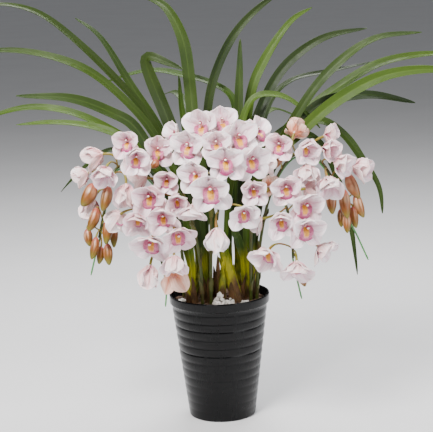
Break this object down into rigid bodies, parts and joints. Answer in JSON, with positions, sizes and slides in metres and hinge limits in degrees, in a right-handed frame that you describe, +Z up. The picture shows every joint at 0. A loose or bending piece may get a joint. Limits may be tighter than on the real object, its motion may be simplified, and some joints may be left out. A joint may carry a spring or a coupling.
{
  "type": "potted orchid",
  "caption": "Flowering cymbidium orchid with strap leaves and arching pale pink flower spikes in a tall ribbed black pot filled with bark mix.",
  "frame": {"origin": "centre of the pot's foot, on the surface that the pot stands on", "axes": "+Z up along the pot's axis, -Y the front that most flowers face, +X to the right seen from the front"},
  "size_m": [0.8908, 0.511, 0.763],
  "materials": {
    "pot_plastic": "satin moulded black plastic",
    "bark": "rough chipped bark",
    "pumice": "rough, pitted",
    "sheath": "fibrous, green to dry brown",
    "leaf": "leathery, half glossy",
    "flower": "waxy petals, white flushed with pink",
    "stem": "smooth, yellow green to olive",
    "bud": "smooth, cream flushed with orange brown",
    "wire_coat": "smooth plastic coating"
  },
  "bodies": {
    "root": {"pot": "pot_plastic", "potting_mix": "bark", "pumice_1": "pumice", "pumice_2": "pumice", "pumice_3": "pumice", "pumice_4": "pumice", "shoot_1": "sheath", "shoot_2": "sheath", "shoot_3": "sheath", "shoot_4": "sheath", "shoot_5": "sheath", "shoot_6": "sheath", "shoot_7": "sheath", "shoot_8": "sheath", "leaf_01": "leaf", "leaf_02": "leaf", "leaf_03": "leaf", "leaf_04": "leaf", "leaf_05": "leaf", "leaf_06": "leaf", "leaf_07": "leaf", "leaf_08": "leaf", "leaf_09": "leaf", "leaf_10": "leaf", "leaf_11": "leaf", "leaf_12": "leaf", "leaf_13": "leaf", "leaf_14": "leaf", "leaf_15": "leaf", "leaf_16": "leaf", "leaf_17": "leaf", "leaf_18": "leaf", "leaf_19": "leaf", "leaf_20": "leaf", "leaf_21": "leaf", "leaf_22": "leaf", "leaf_23": "leaf", "leaf_24": "leaf", "leaf_25": "leaf", "leaf_26": "leaf", "flower_spike_1": "flower", "flower_spike_2": "flower", "flower_spike_3": "flower", "flower_spike_4": "flower", "flower_spike_5": "flower", "training_wire_1": "wire_coat", "training_wire_2": "wire_coat", "training_wire_4": "wire_coat", "training_wire_5": "wire_coat"}
  },
  "joints": []
}
